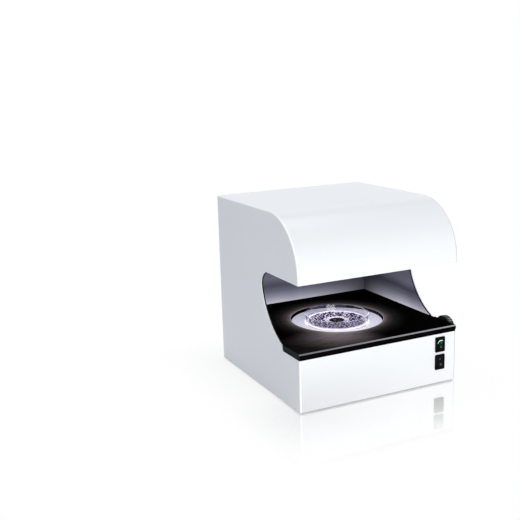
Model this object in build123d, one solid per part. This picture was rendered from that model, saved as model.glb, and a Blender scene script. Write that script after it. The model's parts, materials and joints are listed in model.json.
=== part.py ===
from build123d import *
import os

# A bench-top colony counter. A painted sheet housing, C-shaped from the side, holds a lit sample
# chamber. Culture plates stand on a glowing disc in the black worktop, under a camera in the hood.
# Units are millimetres. +Z is up, X runs to the right and the front faces -Y. Pieces are drawn
# about the middle of the housing, and saved about the middle of the whole, knob and keys included.

# ---- Driving dimensions ----
width = 240.0
depth = 245.0
height = 248.0
foot_height = 2.0
sheet = 1.8
liner_sheet = 0.6
edge_radius = 2.0
border = 12.0

hood_radius = 76.0
hood_lower_edge = 166.0

cut_radius = 96.0
cut_centre_setback = 11.0
cut_corner_radius = 20.0
notch_setback = 45.5

worktop_underside = 70.5
worktop_thickness = 8.5
worktop_upper_thickness = 5.5
worktop_overhang = 0.3
worktop_bevel = 1.5
worktop_groove = 0.6
plate_hole_radius = 65.0
plate_hole_setback = 111.5

back_wall_setback = 224.0
back_wall_flange = 8.0

diffuser_thickness = 3.0
diffuser_top = 72.0
ring_thickness = 2.8
ring_inner_radius = 45.4
dish_radius = 45.0
dish_height = 14.0
dish_wall = 1.2
dish_floor = 1.7
agar_depth = 4.0

switch_from_middle = 93.6
power_switch_z = 56.0
light_switch_z = 31.2
bezel_width = 15.2
bezel_height = 21.0
bezel_depth = 1.6
switch_wall = 1.1
switch_body_depth = 14.0
rocker_width = 10.4
rocker_half_height = 7.8
rocker_throw = 20.0
rocker_reach = 4.3
rocker_pivot_depth = 1.0
rocker_pin_radius = 1.0
moving_gap = 0.3
running_clearance = 0.05

knob_radius = 17.4
knob_thickness = 8.0
knob_gap = 0.5
knob_setback = 28.2
knob_z = 67.0
knob_flutes = 30
flute_floor = knob_radius - 0.5
shaft_radius = 2.0
shaft_grip = 6.0
shaft_hole_radius = 2.6

camera_size = 34.0
lens_radius = 11.5

# ---- Worked-out places ----
side = width / 2
front = -depth / 2
back = depth / 2
bottom = foot_height
worktop_top = worktop_underside + worktop_thickness
notch_y = front + notch_setback
hole_y = front + plate_hole_setback
back_wall_y = front + back_wall_setback
inner_side = side - sheet
seam = side - edge_radius - 1.0
ceiling_z = hood_lower_edge + sheet
ceiling_thickness = 1.5
ceiling_top = ceiling_z + ceiling_thickness
base_top = bottom + sheet + 2.0
rear_panel_thickness = 1.5
rear_panel_face = back - sheet
origin_x = (knob_gap + knob_thickness) / 2
origin_y = -rocker_reach / 2


def block(low, high):
    """A box between two opposite corners."""
    size = [b - a for a, b in zip(low, high)]
    middle = [(a + b) / 2 for a, b in zip(low, high)]
    return Pos(*middle) * Box(*size)


def mirrored_pair(low, high):
    """A box and its mirror image across the middle plane."""
    right = block(low, high)
    return right + mirror(right, Plane.YZ)


def disc(radius, low, high, x=0.0, y=0.0):
    """An upright round disc between two heights."""
    return Pos(x, y, (low + high) / 2) * Cylinder(radius, high - low)


def turned(points):
    """A round piece about the plate axis, from (radius, height) points."""
    profile = Plane.XZ * make_face(Polyline(*points, close=True))
    return Pos(0, hole_y, 0) * revolve(profile, Axis.Z)


def along_x(face, low, high):
    """A side-view face, drawn in Y and Z, pushed out between two X positions."""
    return Pos(low, 0, 0) * extrude(Plane.YZ * face, high - low)


# ---- Housing ----
vent_width = 4.0
rear_vent_length = 30.0
base_vent_length = 36.0


def body_outline(inset):
    """Side view of the closed housing: square at the foot, with the hood's quarter circle."""
    low_y = front + inset
    high_y = back - inset
    low_z = bottom + inset
    high_z = height - inset
    arc = hood_radius - inset
    corner = edge_radius - inset
    outline = Line((low_y, low_z), (low_y, high_z - arc))
    outline += CenterArc((low_y + arc, high_z - arc), arc, 180, -90)
    outline += Line((low_y + arc, high_z), (high_y - corner, high_z))
    outline += CenterArc((high_y - corner, high_z - corner), corner, 90, -90)
    outline += Line((high_y, high_z - corner), (high_y, low_z))
    outline += Line((high_y, low_z), (low_y, low_z))
    return make_face(outline)


def closed_body():
    """The full housing volume, with its outline edges rounded at both sides."""
    body = along_x(body_outline(0), -side, side)
    ends = body.faces().filter_by(Axis.X).edges()
    above_foot = [edge for edge in ends if edge.center().Z > bottom + 0.5]
    return fillet(above_foot, edge_radius)


def cut_outline():
    """Side view of the open front: a big arc that runs down to the notch for the worktop."""
    centre_y = front + cut_centre_setback
    centre_z = hood_lower_edge
    past_front = front - 10.0
    notch_rise = (cut_radius**2 - (notch_y - centre_y) ** 2) ** 0.5
    arc_foot_z = centre_z - notch_rise
    opening = Pos(centre_y, centre_z) * Circle(cut_radius)
    above = Rectangle(400, 400, align=(Align.CENTER, Align.MIN))
    opening -= Pos(centre_y, hood_lower_edge) * above
    opening -= Pos(notch_y, centre_z) * Rectangle(400, 400, align=(Align.MAX, Align.CENTER))
    corner = opening.vertices().sort_by(Axis.X)[-1]
    opening = fillet(corner, cut_corner_radius)
    front_low = (past_front, worktop_underside)
    mouth = Polyline(
        front_low,
        (notch_y, worktop_underside),
        (notch_y, arc_foot_z),
        (notch_y, hood_lower_edge),
        (past_front, hood_lower_edge),
        close=True,
    )
    return opening + make_face(mouth)


def worktop_ledge():
    """Inward lips that carry the worktop, cut short on the right to clear the light control."""
    lip = 10.0
    low_z = worktop_underside - sheet
    front_lip = block((-inner_side, front + sheet, low_z), (inner_side, front + border, worktop_underside))
    side_lips = mirrored_pair(
        (inner_side - lip, front + sheet, low_z),
        (inner_side, notch_y, worktop_underside),
    )
    control_start = front + knob_setback - 17
    relief = block((0, control_start, low_z - 1), (inner_side, notch_y, worktop_underside))
    return front_lip + side_lips - relief


def hood_lip():
    """The inward lip along the hood's lower front edge."""
    return block((-inner_side, front + sheet, hood_lower_edge), (inner_side, front + border, ceiling_z))


def switch_cutouts():
    """The two windows in the front panel that the switches snap into."""
    window_x = bezel_width - 1.6
    window_z = bezel_height - 1.2
    upper = Pos(switch_from_middle, front, power_switch_z) * Box(window_x, 3 * border, window_z)
    lower = Pos(switch_from_middle, front, light_switch_z) * Box(window_x, 3 * border, window_z)
    return upper + lower


def housing_shell():
    """The whole painted sheet housing, open at the back, at the base and round the chamber."""
    shell = closed_body() - along_x(body_outline(sheet), -inner_side, inner_side)
    reach = side - border
    shell -= block((-reach, back - 2 * sheet, bottom + border), (reach, back + 1, height - border))
    shell -= block((-reach, front + border, bottom - 1), (reach, back - border, bottom + 2 * sheet))
    shell -= along_x(cut_outline(), -side - 10, side + 10)
    shell += worktop_ledge() + hood_lip()
    shell -= switch_cutouts()
    knob_hole = Rot(0, 90, 0) * Cylinder(shaft_hole_radius, 12)
    return shell - Pos(side, front + knob_setback, knob_z) * knob_hole


def side_region():
    """The space of both side panels: past the seam, with the upright and base borders."""
    outer = mirrored_pair((seam, front - 5, bottom - 5), (side + 5, back + 5, height + 5))
    upright = mirrored_pair((0, back - 2 * sheet, bottom + border), (seam, back + 5, height - border))
    sill = mirrored_pair((0, front + border, bottom - 5), (seam, back - border, bottom + 2 * sheet))
    return outer + upright + sill


def rear_vents():
    """Two rows of upright slots, one for the electronics and one for the hood."""
    slot = Box(vent_width, 10, rear_vent_length)
    places = [(x, z) for z in (50.0, 208.0) for x in range(28, 99, 10)]
    return [Pos(x, rear_panel_face, z) * slot for x, z in places]


def rear_panel():
    """The screwed rear cover, behind the housing's border, with vents and the two sockets' holes."""
    reach = inner_side - 1.3
    low = (-reach, rear_panel_face - rear_panel_thickness, base_top + 0.3)
    plate = block(low, (reach, rear_panel_face, height - sheet - 1.3))
    plate -= rear_vents()
    plate -= Pos(usb_x, rear_panel_face, socket_z) * Box(12.8, 10, 11.8)
    barrel = Rot(90, 0, 0) * Cylinder(5.2, 10)
    return plate - Pos(inlet_x, rear_panel_face, socket_z) * barrel


def base_plate():
    """The floor of the housing, resting on the base border, with two rows of air slots."""
    low = (-inner_side + 0.4, front + sheet + 0.4, bottom + sheet)
    plate = block(low, (inner_side - 0.4, back - sheet - 0.2, base_top))
    plate = chamfer(plate.edges().filter_by(Axis.Z), 2.0)
    outline = chamfer(Rectangle(base_vent_length, vent_width).vertices(), vent_width * 0.35)
    slot = extrude(outline, 20, both=True)
    return plate - [Pos(x, y, bottom) * slot for x in (-60, 60) for y in (-30, -20, -10, 0)]


def foot():
    """A soft square foot with clipped corners, tapering towards the bench."""
    base = bottom + sheet
    pad = Pos(0, 0, base / 2) * Box(17, 17, base)
    pad = chamfer(pad.edges().filter_by(Axis.Z), 2.5)
    return chamfer(pad.faces().sort_by(Axis.Z)[0].edges(), 1.0)


# ---- Worktop and chamber ----
def worktop_outline(inset):
    """Plan view of the worktop: flush with the housing in front, narrower between the sides."""
    nose = front - worktop_overhang + inset
    flush = side - inset
    narrow = inner_side - 0.4
    shoulder = notch_y - 0.4
    tail = back_wall_y + back_wall_flange
    right = [(flush, nose), (flush, shoulder), (narrow, shoulder), (narrow, tail)]
    left = [(-x, y) for x, y in reversed(right)]
    plan = make_face(Polyline(*right, *left, close=True))
    return plan - Pos(0, hole_y) * Circle(plate_hole_radius)


def worktop_upper():
    """The black top plate, with a bevel along its front edge and eased sides."""
    joint_z = worktop_top - worktop_upper_thickness
    plate = Pos(0, 0, joint_z) * extrude(worktop_outline(0), worktop_upper_thickness)
    top_edges = plate.faces().sort_by(Axis.Z)[-1].edges()
    nose = top_edges.sort_by(Axis.Y)[0]
    return chamfer(nose, worktop_bevel)


def worktop_lower():
    """The plate under it, set back a little so that a shadow groove runs round the edge."""
    depth_below = worktop_thickness - worktop_upper_thickness
    return Pos(0, 0, worktop_underside) * extrude(worktop_outline(worktop_groove), depth_below)


def worktop_rail():
    """The angle bracket that carries the worktop along the right side, behind the notch."""
    leg = 12.0
    low_z = worktop_underside - leg
    points = [
        (inner_side - leg, worktop_underside),
        (inner_side, worktop_underside),
        (inner_side, low_z),
        (inner_side - 1.5, low_z),
        (inner_side - 1.5, worktop_underside - 1.5),
        (inner_side - leg, worktop_underside - 1.5),
    ]
    angle = Plane.XZ * make_face(Polyline(*points, close=True))
    rail = extrude(angle, -(back_wall_y - notch_y - 6))
    return Pos(0, notch_y + 2, 0) * rail


def liner():
    """The grey sheet that lines the right side of the chamber, cut to the same arc."""
    low = (inner_side - liner_sheet, notch_y, worktop_top)
    wall = block(low, (inner_side, back_wall_y - 0.5, ceiling_z))
    wall -= along_x(cut_outline(), 0, side)
    fillet_start = front + cut_centre_setback + 73.0
    return wall - block((0, front, hood_lower_edge - 1), (side, fillet_start, height))


def chamber_back_wall():
    """The chamber's rear sheet, with a lip at its foot and another at its head."""
    lip = back_wall_y + back_wall_flange
    points = [
        (back_wall_y, worktop_top),
        (lip, worktop_top),
        (lip, worktop_top + 1),
        (back_wall_y + 1, worktop_top + 1),
        (back_wall_y + 1, ceiling_z - 1),
        (lip, ceiling_z - 1),
        (lip, ceiling_z),
        (back_wall_y, ceiling_z),
    ]
    reach = inner_side - liner_sheet - 0.3
    return along_x(make_face(Polyline(*points, close=True)), -reach, reach)


lamp_length = 156.0
lamp_width = 26.0
lamp_places = {"front": hole_y - 62.0, "rear": hole_y + 62.0}
camera_hole_radius = 14.0


def chamber_ceiling():
    """The sheet above the chamber, with two lamp windows and the camera's round hole."""
    reach = inner_side - 0.4
    lip = back_wall_y + back_wall_flange
    plate = block((-reach, front + sheet + 0.4, ceiling_z), (reach, lip, ceiling_top))
    plate -= disc(camera_hole_radius, ceiling_z - 1, ceiling_top + 1, 0, hole_y)
    for place in lamp_places.values():
        plate -= Pos(0, place, ceiling_z) * Box(lamp_length, lamp_width, 10)
    return plate


# ---- Light box under the worktop ----
box_floor = 32.0
box_half = 78.0
box_wall = 2.0
box_ledge = diffuser_top - diffuser_thickness


def light_box():
    """The white tray under the worktop. Its mouth is many-sided, with a ledge for the diffuser."""
    low = (-box_half, hole_y - box_half, box_floor)
    tray = block(low, (box_half, hole_y + box_half, worktop_underside))
    tray = chamfer(tray.edges().filter_by(Axis.Z), 8)
    hollow = box_half - box_wall
    low = (-hollow, hole_y - hollow, box_floor + box_wall)
    inside = block(low, (hollow, hole_y + hollow, box_ledge - box_wall))
    tray -= chamfer(inside.edges().filter_by(Axis.Z), 8)
    recess = extrude(RegularPolygon(plate_hole_radius, 36, major_radius=False), diffuser_thickness)
    tray -= Pos(0, hole_y, box_ledge) * recess
    opening = extrude(RegularPolygon(plate_hole_radius - 3, 12), box_ledge - box_floor - box_wall)
    return tray - Pos(0, hole_y, box_floor + box_wall) * opening


def backlight_board():
    """The square lamp board on the tray's floor, with a grid of small lamps."""
    top = box_floor + box_wall + 1.6
    board = Pos(0, hole_y, top - 0.8) * Box(112, 112, 1.6)
    lamps = Pos(0, hole_y, top + 0.5) * GridLocations(30, 30, 4, 4) * Box(4, 4, 1)
    return board + lamps


def diffuser_disc():
    """The frosted disc that the plates stand on."""
    return disc(plate_hole_radius - 0.4, box_ledge, diffuser_top, 0, hole_y)


# ---- Lamps and camera in the hood ----
def top_light_window(place):
    """A frosted pane that drops into the ceiling's slot and rests on its own rim."""
    pane = Pos(0, place, ceiling_z + 0.75) * Box(lamp_length - 0.6, lamp_width - 0.6, 1.5)
    return pane + Pos(0, place, ceiling_top + 0.75) * Box(lamp_length + 8, lamp_width + 8, 1.5)


def top_light_tray(place):
    """The folded cover over a lamp strip, open at its foot."""
    low_z = ceiling_top + 1.5
    outside = Pos(0, place, low_z + 6) * Box(lamp_length + 8, lamp_width + 8, 12)
    return outside - Pos(0, place, low_z + 5) * Box(lamp_length + 6, lamp_width + 6, 12)


def top_led_strip(place):
    """A strip board under the tray's roof, with its lamps facing down."""
    roof = ceiling_top + 12.5
    strip = Pos(0, place, roof - 0.8) * Box(lamp_length - 4, 14, 1.6)
    lamps = Pos(0, place, roof - 2.1) * GridLocations(15, 1, 10, 1) * Box(3, 3, 1)
    return strip + lamps


lens_foot = ceiling_top + 4.0
camera_foot = ceiling_top + 36.0
lens_glass_thickness = 2.0


def camera_window():
    """The clear square pane over the ceiling's hole."""
    pane = 2 * camera_hole_radius + 6
    return Pos(0, hole_y, ceiling_top + 1) * Box(pane, pane, 2)


def camera_bracket():
    """An angle bracket with two gussets: its foot stands on the ceiling, behind the lens."""
    face = hole_y + camera_size / 2
    top = camera_foot + camera_size
    points = [
        (face, ceiling_top),
        (face + 28, ceiling_top),
        (face + 28, ceiling_top + 3),
        (face + 3, ceiling_top + 3),
        (face + 3, top),
        (face, top),
    ]
    gusset = Polyline(
        (face + 3, ceiling_top + 3),
        (face + 24, ceiling_top + 3),
        (face + 3, ceiling_top + 40),
        close=True,
    )
    angle = along_x(make_face(Polyline(*points, close=True)), -22, 22)
    left = along_x(make_face(gusset), -22, -19.5)
    right = along_x(make_face(gusset), 19.5, 22)
    return angle + left + right


def camera_body():
    """The square camera head, with eased edges and a port for its cable."""
    half = camera_size / 2
    head = block((-half, hole_y - half, camera_foot), (half, hole_y + half, camera_foot + camera_size))
    head = chamfer(head.edges().filter_by(Axis.Z), 1.5)
    port = Pos(0, hole_y, camera_foot + camera_size) * Box(10, 8, 5)
    return head - port


def lens_barrel():
    """The lens tube, which hangs from the camera head."""
    return disc(lens_radius, lens_foot + lens_glass_thickness, camera_foot, 0, hole_y)


def lens_focus_ring():
    """The many-sided grip ring round the lens tube, whose flats bear on it."""
    low = lens_foot + 5.2
    outline = RegularPolygon(lens_radius + 1.8, 20)
    outline -= RegularPolygon(lens_radius, 20, major_radius=False)
    return Pos(0, hole_y, low) * extrude(outline, 10.6)


def lens_glass():
    """The front glass, on the end of the lens tube."""
    return disc(8.4, lens_foot, lens_foot + lens_glass_thickness, 0, hole_y)


# ---- Electronics on the base ----
board_low = base_top + 10.0
board_top = board_low + 1.6
board_x = (-106.0, -14.0)
board_y = (back_wall_y - 34.0, rear_panel_face - rear_panel_thickness - 1.0)
usb_x = -52.0
inlet_x = -84.0
socket_z = board_top + 5.6


def control_board():
    """The main board with its larger chips."""
    board = block((board_x[0], board_y[0], board_low), (board_x[1], board_y[1], board_top))
    for x, y, size in ((-74, 84, 16), (-48, 82, 12), (-28, 88, 9)):
        board += Pos(x, y, board_top + 0.8) * Box(size, size, 1.6)
    return board


def standoff():
    """A six-sided spacer between the base and the main board."""
    return extrude(RegularPolygon(3.2, 6), board_low - base_top)


def standoff_places():
    """The four corners that the spacers stand in."""
    xs = (board_x[0] + 6, board_x[1] - 6)
    ys = (board_y[0] + 6, board_y[1] - 6)
    return [(x, y) for x in xs for y in ys]


def heat_sink():
    """A finned block on the lamp driver, beside the sockets."""
    sink = Pos(-28, 104, board_top + 1) * Box(18, 16, 2)
    for offset in range(-8, 9, 4):
        sink += Pos(-28 + offset, 104, board_top + 7) * Box(1.2, 16, 10)
    return sink


def usb_socket():
    """The square data socket's metal shell, open to the rear."""
    mouth = rear_panel_face + 1.0
    shell = block((usb_x - 6.1, mouth - 16, board_top), (usb_x + 6.1, mouth, board_top + 11.2))
    hollow = block((usb_x - 4.3, mouth - 12, socket_z - 4), (usb_x + 4.3, mouth + 1, socket_z + 4))
    corners = [edge for edge in hollow.edges().filter_by(Axis.Y) if edge.center().Z > socket_z]
    return shell - chamfer(corners, 1.6)


def usb_tongue():
    """The insulating tongue inside the data socket."""
    mouth = rear_panel_face + 1.0
    low = (usb_x - 2.8, mouth - 12, socket_z - 1.6)
    return block(low, (usb_x + 2.8, mouth - 3, socket_z + 1.6))


def power_inlet():
    """The round low-voltage inlet, with its centre pin."""
    mouth = rear_panel_face + 1.2
    case = block((inlet_x - 4.5, mouth - 14, board_top), (inlet_x + 4.5, mouth - 4, board_top + 11))
    axis = Pos(inlet_x, mouth - 5, socket_z) * Rot(90, 0, 0)
    inlet = case + axis * Cylinder(4.8, 10)
    inlet -= Pos(inlet_x, mouth - 4, socket_z) * Rot(90, 0, 0) * Cylinder(3.1, 10)
    return inlet + Pos(inlet_x, mouth - 5.5, socket_z) * Box(1.6, 8, 1.6)


# ---- Switches ----
pivot_y = front + rocker_pivot_depth
switch_hollow_x = rocker_width + 2 * moving_gap
switch_hollow_z = bezel_height - 3.6


def switch_body(z):
    """A snap-in switch: bezel, case with the rocker's hollow, pivot sockets and three blades."""
    case_x = switch_hollow_x + 2.4
    case_z = switch_hollow_z + 2 * switch_wall
    bezel = RectangleRounded(bezel_width, bezel_height, 1.2)
    plate = Pos(0, front, 0) * extrude(Plane.XZ * bezel, bezel_depth)
    case_y = front + switch_body_depth / 2
    body = plate + Pos(0, case_y, 0) * Box(case_x, switch_body_depth, case_z)
    hollow_back = front + 6.5
    body -= block(
        (-switch_hollow_x / 2, front - 5, -switch_hollow_z / 2),
        (switch_hollow_x / 2, hollow_back, switch_hollow_z / 2),
    )
    socket = Rot(0, 90, 0) * Cylinder(rocker_pin_radius + running_clearance, switch_hollow_x + 1.8)
    body -= Pos(0, pivot_y, 0) * socket
    for blade_z in (-6, 0, 6):
        body += Pos(0, front + switch_body_depth + 3, blade_z) * Box(4.8, 6, 0.8)
    return Pos(switch_from_middle, 0, z) * body


def rocker(z):
    """The tilting key: a hollow-ground face, a round belly and two twelve-sided pivot pins."""
    face_depth = 4.0
    end = rocker_half_height
    profile = ThreePointArc((-face_depth, end), (-face_depth + 1.8, 0), (-face_depth, -end))
    profile += Line((-face_depth, -end), (0.5, -end + 0.6))
    profile += ThreePointArc((0.5, -end + 0.6), (5.0, 0), (0.5, end - 0.6))
    profile += Line((0.5, end - 0.6), (-face_depth, end))
    key = along_x(make_face(profile), -rocker_width / 2, rocker_width / 2)
    pin_length = switch_hollow_x + 1.6
    pins = Rot(0, 90, 0) * extrude(RegularPolygon(rocker_pin_radius, 12), pin_length / 2, both=True)
    tilt = Rot(-rocker_throw / 2, 0, 0)
    return Pos(switch_from_middle, pivot_y, z) * tilt * (key + pins)


# ---- Light control on the right side ----
knob_y = front + knob_setback


def fluted_outline():
    """The knob's round outline with shallow square-shouldered flutes, from the axis outwards."""
    step = 360 / knob_flutes
    points = []
    for number in range(knob_flutes):
        start = number * step
        for radius, first, last in ((knob_radius, 0.0, 0.6), (flute_floor, 0.68, 0.92)):
            for share in (first, last):
                points.append(Vector(radius, 0).rotate(Axis.Z, start + share * step))
    return make_face(Polyline(*points, close=True))


def knob():
    """A fluted knob with a pointer groove, bored from behind for its shaft."""
    inner = side + knob_gap
    wheel = extrude(fluted_outline(), knob_thickness)
    wheel -= Cylinder(shaft_radius + 0.02, 2 * shaft_grip)
    wheel -= Pos(0, knob_radius / 2, knob_thickness) * Box(1.2, knob_radius, 1.2)
    return Pos(inner, knob_y, knob_z) * Rot(0, 0, 90) * Rot(90, 0, 0) * wheel


def knob_shaft():
    """The control's metal shaft, pressed into the knob."""
    low = side - 14.0
    high = side + knob_gap + shaft_grip
    return Pos((low + high) / 2, knob_y, knob_z) * Rot(0, 90, 0) * Cylinder(shaft_radius, high - low)


def potentiometer():
    """The light control behind the side panel, in whose bearing the shaft turns."""
    case = Pos(side - 12, knob_y, knob_z - 0.5) * Box(10, 10, 7)
    bore = Rot(0, 90, 0) * Cylinder(shaft_radius + running_clearance, 9)
    return case - Pos(side - 10, knob_y, knob_z) * bore


def control_bracket():
    """The hat-shaped bracket that holds the light control off the side panel."""
    wall = inner_side
    face = side - 7.0
    points = [
        (wall, knob_y - 16),
        (wall, knob_y - 8),
        (face + 1.2, knob_y - 8),
        (face + 1.2, knob_y + 8),
        (wall, knob_y + 8),
        (wall, knob_y + 16),
        (wall - 1.2, knob_y + 16),
        (wall - 1.2, knob_y + 9.2),
        (face, knob_y + 9.2),
        (face, knob_y - 9.2),
        (wall - 1.2, knob_y - 9.2),
        (wall - 1.2, knob_y - 16),
    ]
    low = knob_z - 12
    hat = Pos(0, 0, low) * extrude(make_face(Polyline(*points, close=True)), 15.0)
    hole = Rot(0, 90, 0) * Cylinder(shaft_hole_radius, 12)
    return hat - Pos(face, knob_y, knob_z) * hole


# ---- Plates ----
def adapter_ring():
    """The loose ring that centres a small dish in the worktop's hole."""
    outer = plate_hole_radius - 0.5
    top = diffuser_top + ring_thickness
    return turned(
        [
            (ring_inner_radius, diffuser_top),
            (outer, diffuser_top),
            (outer, top),
            (ring_inner_radius, top),
        ]
    )


def petri_dish():
    """A shallow round dish with a thin wall, open at its head."""
    low = diffuser_top
    inside = dish_radius - dish_wall
    return turned(
        [
            (0, low),
            (dish_radius, low),
            (dish_radius, low + dish_height),
            (inside, low + dish_height),
            (inside, low + dish_floor),
            (0, low + dish_floor),
        ]
    )


def agar():
    """The layer of growth medium in the dish."""
    low = diffuser_top + dish_floor
    return disc(dish_radius - dish_wall - 0.05, low, low + agar_depth, 0, hole_y)


# ---- Write one file for each piece ----
def save(solid, node):
    """Write one piece, moved so that the origin lies under the middle of the whole instrument."""
    placed = Pos(-origin_x, -origin_y, 0) * solid
    placed.label = node
    export_step(placed, f"parts/{node}.step")


def save_pair(solid, node):
    """Save the right-hand piece and its mirror image."""
    save(solid, f"{node}_right")
    save(mirror(solid, Plane.YZ), f"{node}_left")


def save_housing():
    """Part the housing at its seams: two sides, the hood, the front panel and the rear sill."""
    shell = housing_shell()
    region = side_region()
    sides = (shell & region).solids().sort_by(Axis.X)
    save(sides[0], "side_panel_left")
    save(sides[-1], "side_panel_right")
    middle = (shell - region).solids()
    hood = middle.sort_by(Axis.Z)[-1]
    front_panel = middle.sort_by(Axis.Y)[0]
    if front_panel.center().Z > worktop_underside:
        front_panel = middle.sort_by(Axis.Y)[1]
    rear_sill = middle.filter_by(lambda piece: piece.center().Z < 60).sort_by(Axis.Y)[-1]
    save(hood, "hood")
    save(front_panel, "front_panel")
    save(rear_sill, "rear_sill")


def main():
    os.makedirs("parts", exist_ok=True)
    save_housing()
    save(rear_panel(), "rear_panel")
    save(base_plate(), "base_plate")
    for x_name, x in (("left", -98), ("right", 98)):
        for y_name, y in (("front", -102), ("rear", 102)):
            save(Pos(x, y, 0) * foot(), f"foot_{y_name}_{x_name}")
    save(worktop_upper(), "worktop")
    save(worktop_lower(), "worktop_base")
    save_pair(worktop_rail(), "worktop_rail")
    save_pair(liner(), "chamber_liner")
    save(chamber_back_wall(), "chamber_back_wall")
    save(chamber_ceiling(), "chamber_ceiling")
    save(light_box(), "light_box")
    save(backlight_board(), "backlight_board")
    save(diffuser_disc(), "diffuser_disc")
    for name, place in lamp_places.items():
        save(top_light_window(place), f"top_light_window_{name}")
        save(top_light_tray(place), f"top_light_tray_{name}")
        save(top_led_strip(place), f"top_led_strip_{name}")
    save(camera_window(), "camera_window")
    save(camera_bracket(), "camera_bracket")
    save(camera_body(), "camera_body")
    save(lens_barrel(), "lens_barrel")
    save(lens_focus_ring(), "lens_focus_ring")
    save(lens_glass(), "lens_glass")
    save(control_board(), "control_board")
    for number, (x, y) in enumerate(standoff_places(), start=1):
        save(Pos(x, y, base_top) * standoff(), f"board_standoff_{number}")
    save(heat_sink(), "heat_sink")
    save(usb_socket(), "usb_socket")
    save(usb_tongue(), "usb_tongue")
    save(power_inlet(), "power_inlet")
    save(switch_body(power_switch_z), "power_switch_body")
    save(rocker(power_switch_z), "power_rocker")
    save(switch_body(light_switch_z), "light_switch_body")
    save(rocker(light_switch_z), "light_rocker")
    save(knob(), "knob")
    save(knob_shaft(), "knob_shaft")
    save(potentiometer(), "potentiometer")
    save(control_bracket(), "control_bracket")
    save(adapter_ring(), "adapter_ring")
    save(petri_dish(), "petri_dish")
    save(agar(), "agar")


main()
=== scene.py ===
import json
import math
import random

import bmesh
import bpy
from mathutils import Matrix, Vector


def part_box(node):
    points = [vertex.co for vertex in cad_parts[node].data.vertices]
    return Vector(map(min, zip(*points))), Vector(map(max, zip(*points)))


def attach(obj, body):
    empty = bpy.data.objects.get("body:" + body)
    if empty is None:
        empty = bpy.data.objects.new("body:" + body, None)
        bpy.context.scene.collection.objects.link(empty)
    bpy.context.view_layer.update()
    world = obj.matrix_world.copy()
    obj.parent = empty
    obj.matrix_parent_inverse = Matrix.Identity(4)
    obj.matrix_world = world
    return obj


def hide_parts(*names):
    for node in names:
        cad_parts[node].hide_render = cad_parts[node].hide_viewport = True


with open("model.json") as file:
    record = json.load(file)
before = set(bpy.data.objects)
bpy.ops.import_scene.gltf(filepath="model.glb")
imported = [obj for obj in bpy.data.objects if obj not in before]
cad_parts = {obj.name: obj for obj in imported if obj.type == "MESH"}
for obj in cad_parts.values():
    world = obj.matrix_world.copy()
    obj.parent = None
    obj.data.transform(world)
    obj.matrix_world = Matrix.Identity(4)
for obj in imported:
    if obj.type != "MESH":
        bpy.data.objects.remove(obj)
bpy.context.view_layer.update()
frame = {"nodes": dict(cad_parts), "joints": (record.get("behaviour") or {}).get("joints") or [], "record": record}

# Lengths are named in millimetres and multiplied by MM where Blender's metres are needed.
MM = 0.001

# ---- Places that the frame gives: lowest and highest corners at rest ----
worktop_low, worktop_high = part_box("worktop")
ring_low, ring_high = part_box("adapter_ring")
dish_low, dish_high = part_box("petri_dish")
knob_low, knob_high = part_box("knob")
rear_low, rear_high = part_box("rear_panel")
base_low, base_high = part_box("base_plate")
agar_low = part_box("agar")[0]
diffuser_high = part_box("diffuser_disc")[1]
right_wall_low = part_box("chamber_liner_right")[0]
left_wall_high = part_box("chamber_liner_left")[1]
back_wall_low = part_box("chamber_back_wall")[0]
front_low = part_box("front_panel")[0]
hood_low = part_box("hood")[0]
plate_axis = (dish_low + dish_high) / 2
knob_axis = (knob_low + knob_high) / 2

# ---- Sizes that the frame doesn't give, in millimetres, the same as in the solids ----
hole_radius = 65.0
ring_bore = 45.4
cut_radius = 96.0
cut_corner_radius = 20.0
cut_centre_setback = 11.0


# ---- Camera, at the photograph's viewing angle ----
def make_camera():
    """A camera whose place, turn and lens were fitted to the outline of the object in the photograph."""
    place = (-0.5667, -0.9577, 0.4158)
    azimuth = math.radians(-25.155)
    elevation = math.radians(12.83)
    roll = math.radians(-1.781)
    back = Vector(
        (
            math.sin(azimuth) * math.cos(elevation),
            -math.cos(azimuth) * math.cos(elevation),
            math.sin(elevation),
        )
    )
    level_right = Vector((math.cos(azimuth), math.sin(azimuth), 0.0))
    level_up = back.cross(level_right)
    right = math.cos(roll) * level_right + math.sin(roll) * level_up
    up = -math.sin(roll) * level_right + math.cos(roll) * level_up
    turn = Matrix((right, up, back)).transposed().to_4x4()
    data = bpy.data.cameras.new("camera")
    data.sensor_width = 36.0
    data.lens = 56.18
    data.clip_start = 0.02
    data.clip_end = 50.0
    camera = bpy.data.objects.new("camera", data)
    camera.matrix_world = Matrix.Translation(place) @ turn
    bpy.context.scene.collection.objects.link(camera)
    bpy.context.scene.camera = camera


# ---- Node materials ----
BLACK = (0.0, 0.0, 0.0, 1.0)
WHITE = (1.0, 1.0, 1.0, 1.0)

# Most of a noise pattern's values lie between these two.
NOISE_LOW = 0.3
NOISE_HIGH = 0.7


def srgb(red, green, blue):
    """A screen colour, 0 to 255, as Blender's linear colour."""
    linear = []
    for value in (red, green, blue):
        share = value / 255
        linear.append(share / 12.92 if share <= 0.04045 else ((share + 0.055) / 1.055) ** 2.4)
    return (*linear, 1.0)


def scaled(colour, factor):
    """A colour made lighter or darker by a factor."""
    return (*[min(1.0, channel * factor) for channel in colour[:3]], 1.0)


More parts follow.
